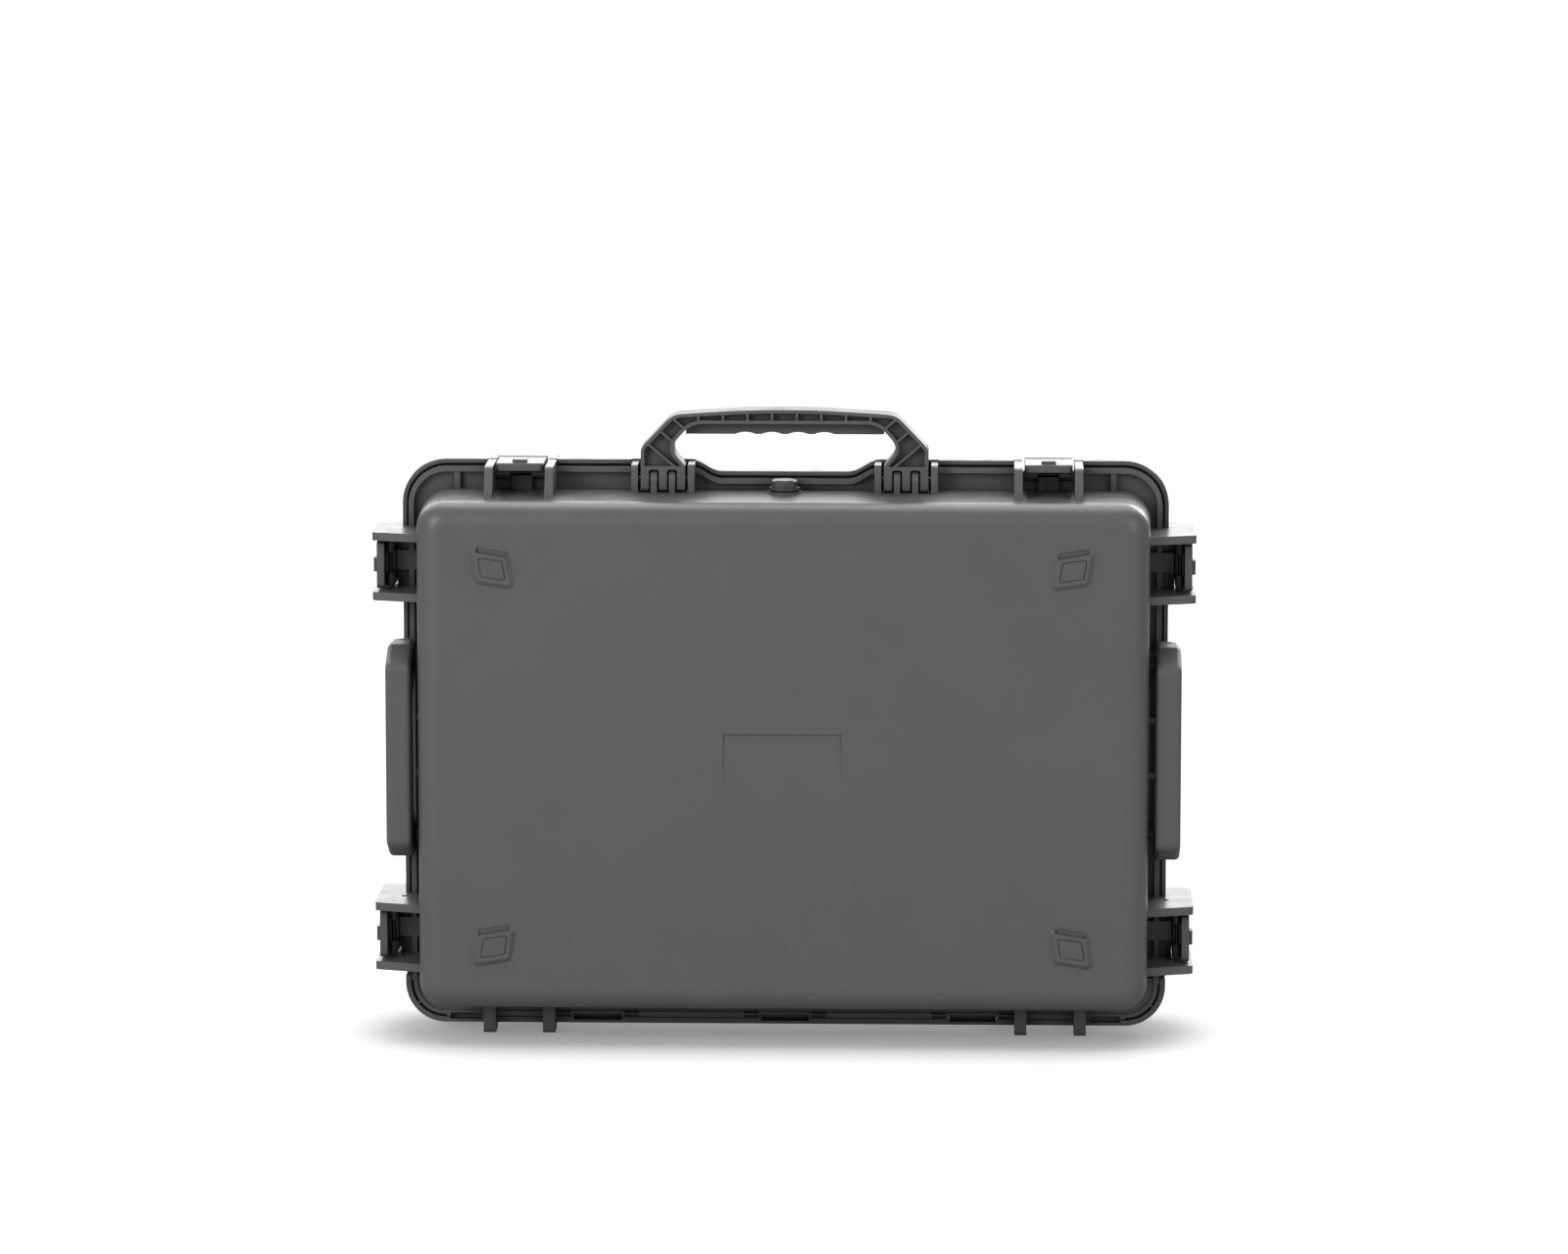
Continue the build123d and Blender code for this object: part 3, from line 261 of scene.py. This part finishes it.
def drawn_steel(name, colour):
    """Plain drawn rod: faint streaks and uneven polish."""
    material = bpy.data.materials.new(name)
    tree, shader = node_tree(material)
    shader.inputs["Metallic"].default_value = 1
    coordinates = tree.nodes.new("ShaderNodeTexCoord")
    tint = multiplied(tree, shade_range(tree, noise(tree, coordinates, STREAK_SCALE, 4), 0.9, 1.08))
    tint.inputs["A"].default_value = (*colour, 1)
    link(tree, tint, "Result", shader, "Base Color")
    polish = shade_range(tree, noise(tree, coordinates, SCRATCH_SCALE, 2), 0.28, 0.42)
    link(tree, polish, "Result", shader, "Roughness")
    return material


MATERIALS = {
    "shell_plastic": moulded("shell_plastic", SHELL_GREY, 0.34, 0.35),
    "handle_plastic": moulded("handle_plastic", HANDLE_GREY, 0.48, 0.3),
    "latch_plastic": moulded("latch_plastic", LATCH_GREY, 0.34, 0.3, edge=0.5 * MM),
    "valve_plastic": moulded("valve_plastic", VALVE_GREY, 0.42, 0.2, edge=0.4 * MM),
    "pad_rubber": moulded("pad_rubber", PAD_GREY, 0.62, 0.5),
    "seal_rubber": moulded("seal_rubber", SEAL_BLACK, 0.55, 0.3, edge=0.3 * MM),
    "pin_steel": drawn_steel("pin_steel", STEEL_GREY),
    "foam": foamed("foam", FOAM_BLACK),
}


def dress_nodes():
    """Gives each CAD node the finish of its slot in the record."""
    for row in frame["record"]["subparts"]:
        piece = nodes[row["node"]]
        piece.data.materials.clear()
        piece.data.materials.append(MATERIALS[row["material_slot"]])


def new_piece(name, mesh, slot, body, *replaced):
    """Adds a mesh as a piece that rides on a body and stands for CAD nodes."""
    piece = bpy.data.objects.new(name, mesh)
    bpy.context.scene.collection.objects.link(piece)
    mesh.materials.append(MATERIALS[slot])
    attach(piece, body)
    if replaced:
        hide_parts(*replaced)
    return piece


def rounded_rectangle(middle_x, middle_z, width, height, corner, steps=10):
    """Points of a rounded rectangle in XZ, anticlockwise seen from -Y."""
    points = []
    for turn, (sx, sz) in enumerate(((1, 1), (-1, 1), (-1, -1), (1, -1))):
        x = middle_x + sx * (width / 2 - corner)
        z = middle_z + sz * (height / 2 - corner)
        for step in range(steps + 1):
            angle = math.pi / 2 * (turn + step / steps)
            points.append((x + corner * math.cos(angle), z + corner * math.sin(angle)))
    return points


def loft(name, rings):
    """A closed mesh through rings of equally many points (x, y, z), capped at both ends."""
    mesh = bpy.data.meshes.new(name)
    bm = bmesh.new()
    loops = [[bm.verts.new(point) for point in ring] for ring in rings]
    count = len(loops[0])
    for near, far in zip(loops, loops[1:]):
        for i in range(count):
            j = (i + 1) % count
            bm.faces.new((near[i], near[j], far[j], far[i]))
    bm.faces.new(loops[0][::-1])
    bm.faces.new(loops[-1])
    bmesh.ops.recalc_face_normals(bm, faces=bm.faces)
    bm.to_mesh(mesh)
    bm.free()
    return mesh


def cut_away(piece, cutter_mesh):
    """Takes a closed mesh out of a piece for good."""
    cutter = bpy.data.objects.new("cutter", cutter_mesh)
    bpy.context.scene.collection.objects.link(cutter)
    modifier = piece.modifiers.new("cut", "BOOLEAN")
    modifier.operation = "DIFFERENCE"
    modifier.object = cutter
    bpy.context.view_layer.update()
    result = bpy.data.meshes.new_from_object(piece.evaluated_get(bpy.context.evaluated_depsgraph_get()))
    piece.modifiers.clear()
    piece.data = result
    bpy.data.objects.remove(cutter)


def base_foam():
    """The block in the base, cut for a laptop and for what goes with it."""
    low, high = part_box("base_foam_walls")
    mouth, floor = high[1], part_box("base_foam_floor")[0][1]
    middle_z = (low[2] + high[2]) / 2
    width, height = high[0] - low[0], high[2] - low[2]
    profile = [(mouth, 2 * MM), (mouth - 0.6 * MM, 0.6 * MM), (mouth - 2 * MM, 0)]
    profile.append((floor + FOAM_FLOOR_ROUND, 0))
    for step in range(1, FOAM_ROUND_STEPS + 1):
        angle = math.pi / 2 * step / FOAM_ROUND_STEPS
        sink = FOAM_FLOOR_ROUND * math.sin(angle)
        inset = FOAM_FLOOR_ROUND * (1 - math.cos(angle))
        profile.append((floor + FOAM_FLOOR_ROUND - sink, inset))
    rings = []
    for y, inset in profile:
        shrink = inset + (mouth - y) * FOAM_DRAFT + FOAM_PLAY
        corner = max(FOAM_CORNER - shrink, FOAM_CORNER_LEAST)
        outline = rounded_rectangle(0, middle_z, width - 2 * shrink, height - 2 * shrink, corner)
        rings.append([(x, y, z) for x, z in outline])
    piece = new_piece(
        "base_foam_block", loft("base_foam_block", rings), "foam", "base",
        "base_foam_floor", "base_foam_walls", "base_foam_divider",
    )
    for x, pocket_width, pocket_height in (LAPTOP_POCKET, EXTRAS_POCKET):
        rings = []
        for y, grow in (
            (mouth + 1 * MM, FOAM_LIP), (mouth, FOAM_LIP), (mouth - 1 * MM, 0.3 * FOAM_LIP),
            (mouth - FOAM_LIP, 0), (mouth - POCKET_DEPTH + 2 * MM, 0), (mouth - POCKET_DEPTH, -2 * MM),
        ):
            outline = rounded_rectangle(
                x, middle_z, pocket_width + 2 * grow, pocket_height + 2 * grow, POCKET_CORNER + grow
            )
            rings.append([(px, y, pz) for px, pz in outline])
        cut_away(piece, loft("pocket", rings))
    notch = rounded_rectangle(0, high[2], *NUT_NOTCH, NUT_NOTCH_CORNER)
    ends = (mouth + MM, mouth - NUT_NOTCH_DEPTH)
    cut_away(piece, loft("notch", [[(x, y, z) for x, z in notch] for y in ends]))


def egg_foam():
    """The lid's convoluted liner: rows of soft peaks on a flat back."""
    low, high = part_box("lid_foam")
    half_x, half_z = (high[0] - low[0]) / 2 - FOAM_PLAY, (high[2] - low[2]) / 2 - FOAM_PLAY
    middle_z = (low[2] + high[2]) / 2
    corner, columns, rows = EGG_CORNER, EGG_COLUMNS, EGG_ROWS
    turns = 2 * math.pi / EGG_PITCH
    mesh = bpy.data.meshes.new("lid_foam_sheet")
    bm = bmesh.new()

    def place(u, v):
        """Square grid place to a place in the rounded rectangle."""
        x, z = u * half_x, v * half_z
        a = max(abs(x) - (half_x - corner), 0) / corner
        b = max(abs(z) - (half_z - corner), 0) / corner
        if a > 0 and b > 0:
            scale = max(a, b) / math.hypot(a, b)
            x = math.copysign(half_x - corner + a * scale * corner, x)
            z = math.copysign(half_z - corner + b * scale * corner, z)
        return x, z

    grid = []
    for j in range(rows + 1):
        line = []
        for i in range(columns + 1):
            u, v = 2 * i / columns - 1, 2 * j / rows - 1
            x, z = place(u, v)
            rim = min(1 - abs(u), (1 - abs(v)) * half_z / half_x) * half_x
            wave = (math.sin(turns * x) * math.sin(turns * z) + 1) / 2
            rise = min(rim / EGG_BORDER, 1)
            y = low[1] + EGG_HEIGHT * (1 - wave * rise * rise * (3 - 2 * rise))
            line.append(bm.verts.new((x, y, middle_z + z)))
        grid.append(line)
    for near, far in zip(grid, grid[1:]):
        for i in range(columns):
            bm.faces.new((near[i], near[i + 1], far[i + 1], far[i]))
    right = [line[-1] for line in grid[1:-1]]
    left = [line[0] for line in grid[-2:0:-1]]
    border = grid[0] + right + grid[-1][::-1] + left
    previous = border
    for inset, scale in EGG_BACK:
        y = high[1] - inset
        ring = []
        for vert in border:
            x, z = vert.co.x, vert.co.z - middle_z
            pull = (1 - scale) * half_x
            x = x - math.copysign(min(pull, abs(x)), x) if abs(x) > half_x - corner else x * scale
            z = z - math.copysign(min(pull, abs(z)), z) if abs(z) > half_z - corner else z * scale
            ring.append(bm.verts.new((x, y, middle_z + z)))
        for i in range(len(border)):
            j = (i + 1) % len(border)
            bm.faces.new((previous[i], previous[j], ring[j], ring[i]))
        previous = ring
    bm.faces.new(previous)
    bmesh.ops.recalc_face_normals(bm, faces=bm.faces)
    for face in bm.faces:
        face.smooth = True
    bm.to_mesh(mesh)
    bm.free()
    piece = new_piece("lid_foam_sheet", mesh, "foam", "lid", "lid_foam")


def seal_ring():
    """The round-nosed seal in the lid's groove."""
    low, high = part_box("lid_gasket")
    middle_y, middle_z = (low[1] + high[1]) / 2, (low[2] + high[2]) / 2
    width, height = high[0] - low[0] - 2 * SEAL_HALF - SEAL_PLAY, high[2] - low[2] - 2 * SEAL_HALF - SEAL_PLAY
    around = rounded_rectangle(0, middle_z, width, height, SEAL_CORNER, SEAL_CORNER_STEPS)
    mesh = bpy.data.meshes.new("lid_seal")
    bm = bmesh.new()
    depth_half = (high[1] - low[1]) / 2
    loops = []
    for i, (x, z) in enumerate(around):
        before, after = around[i - 1], around[(i + 1) % len(around)]
        along = Vector((after[0] - before[0], after[1] - before[1])).normalized()
        out = Vector((along.y, -along.x))
        loop = []
        for step in range(SEAL_SIDES):
            angle = 2 * math.pi * step / SEAL_SIDES
            across = SEAL_HALF * math.copysign(abs(math.cos(angle)) ** SEAL_FULLNESS, math.cos(angle))
            depth = depth_half * math.copysign(abs(math.sin(angle)) ** SEAL_FULLNESS, math.sin(angle))
            loop.append(bm.verts.new((x + out.x * across, middle_y + depth, z + out.y * across)))
        loops.append(loop)
    for i, near in enumerate(loops):
        far = loops[(i + 1) % len(loops)]
        for step in range(SEAL_SIDES):
            following = (step + 1) % SEAL_SIDES
            face = bm.faces.new((near[step], near[following], far[following], far[step]))
            face.smooth = True
    bmesh.ops.recalc_face_normals(bm, faces=bm.faces)
    bm.to_mesh(mesh)
    bm.free()
    new_piece("lid_seal", mesh, "seal_rubber", "lid", "lid_gasket")


def floor():
    """A white floor that keeps the object's shadow, partly real from the lamps and partly painted: occlusion
    near the object dims its glow to the camera.
    """
    mesh = bpy.data.meshes.new("floor")
    corners = [(x * FLOOR_REACH, y * FLOOR_REACH, 0) for x, y in ((-1, -1), (1, -1), (1, 1), (-1, 1))]
    mesh.from_pydata(corners, [], [(0, 1, 2, 3)])
    piece = bpy.data.objects.new("floor", mesh)
    bpy.context.scene.collection.objects.link(piece)
    material = bpy.data.materials.new("floor_white")
    tree, shader = node_tree(material)
    shader.inputs["Base Color"].default_value = (FLOOR_WHITE, FLOOR_WHITE, FLOOR_WHITE, 1)
    shader.inputs["Roughness"].default_value = 0.9
    shader.inputs["Specular IOR Level"].default_value = 0.1
    rays = tree.nodes.new("ShaderNodeLightPath")
    # painted shadow: occlusion within SHADOW_REACH of the object dims the floor's glow to the camera
    painted_shade_ao = tree.nodes.new("ShaderNodeAmbientOcclusion")
    painted_shade_ao.samples = SHADOW_SAMPLES
    painted_shade_ao.inputs["Distance"].default_value = SHADOW_REACH
    shade = tree.nodes.new("ShaderNodeMapRange")
    shade.inputs["From Min"].default_value = SHADOW_FULL
    shade.inputs["From Max"].default_value = SHADOW_NONE
    shade.inputs["To Min"].default_value = SHADOW_LIFT * FLOOR_LIFT
    shade.inputs["To Max"].default_value = FLOOR_LIFT
    link(tree, painted_shade_ao, "AO", shade, "Value")
    lift = tree.nodes.new("ShaderNodeMath")
    lift.operation = "MULTIPLY"
    link(tree, rays, "Is Camera Ray", lift, 0)
    link(tree, shade, "Result", lift, 1)
    shader.inputs["Emission Color"].default_value = (1, 1, 1, 1)
    link(tree, lift, "Value", shader, "Emission Strength")
    mesh.materials.append(material)


def mixed(tree, rays, kind, otherwise, wanted):
    """One value for a kind of ray and another for the rest; each is a number or a node."""
    choice = tree.nodes.new("ShaderNodeMix")
    link(tree, rays, kind, choice, "Factor")
    for socket, value in (("A", otherwise), ("B", wanted)):
        if isinstance(value, (int, float)):
            choice.inputs[socket].default_value = value
        else:
            link(tree, value, "Result", choice, socket)
    return choice


def world():
    """White to the camera, softer as a light; in reflections white behind and overhead, dim in front."""
    setting = bpy.data.worlds.new("studio")
    bpy.context.scene.world = setting
    setting.use_nodes = True
    tree = setting.node_tree
    background = tree.nodes["Background"]
    background.inputs["Color"].default_value = (1, 1, 1, 1)
    rays = tree.nodes.new("ShaderNodeLightPath")
    direction = tree.nodes.new("ShaderNodeTexCoord")
    back = tree.nodes.new("ShaderNodeVectorMath")
    back.operation = "DOT_PRODUCT"
    back.inputs[1].default_value = BRIGHT_SIDE
    link(tree, direction, "Generated", back, 0)
    overhead = tree.nodes.new("ShaderNodeMapRange")
    overhead.inputs["From Min"].default_value = BRIGHT_START
    overhead.inputs["From Max"].default_value = BRIGHT_FULL
    overhead.inputs["To Min"].default_value = DIM_GLOW
    overhead.inputs["To Max"].default_value = BRIGHT_GLOW
    link(tree, back, "Value", overhead, "Value")
    lit = mixed(tree, rays, "Is Glossy Ray", ROOM_LIGHT, overhead)
    link(tree, mixed(tree, rays, "Is Camera Ray", lit, 1), "Result", background, "Strength")


def softbox(name, place, aim_z, width, height, power):
    """An area lamp aimed at a height on the object's middle line."""
    lamp = bpy.data.lights.new(name, "AREA")
    lamp.shape = "RECTANGLE"
    lamp.size = width
    lamp.size_y = height
    lamp.energy = power
    holder = bpy.data.objects.new(name, lamp)
    holder.location = place
    holder.rotation_euler = (Vector((0, 0, aim_z)) - Vector(place)).to_track_quat("-Z", "Y").to_euler()
    bpy.context.scene.collection.objects.link(holder)


def camera():
    """The photograph's viewing angle."""
    lens = bpy.data.cameras.new("camera")
    lens.lens = CAMERA_LENS
    lens.sensor_width = SENSOR_WIDTH
    lens.clip_end = CAMERA_REACH
    holder = bpy.data.objects.new("camera", lens)
    holder.location = CAMERA_PLACE
    holder.rotation_euler = (CAMERA_AIM - CAMERA_PLACE).to_track_quat("-Z", "Y").to_euler()
    bpy.context.scene.collection.objects.link(holder)
    bpy.context.scene.camera = holder


dress_nodes()
base_foam()
egg_foam()
seal_ring()
floor()
world()
for lamp_row in LAMPS:
    softbox(*lamp_row)
camera()
bpy.context.scene.view_settings.view_transform = "Standard"
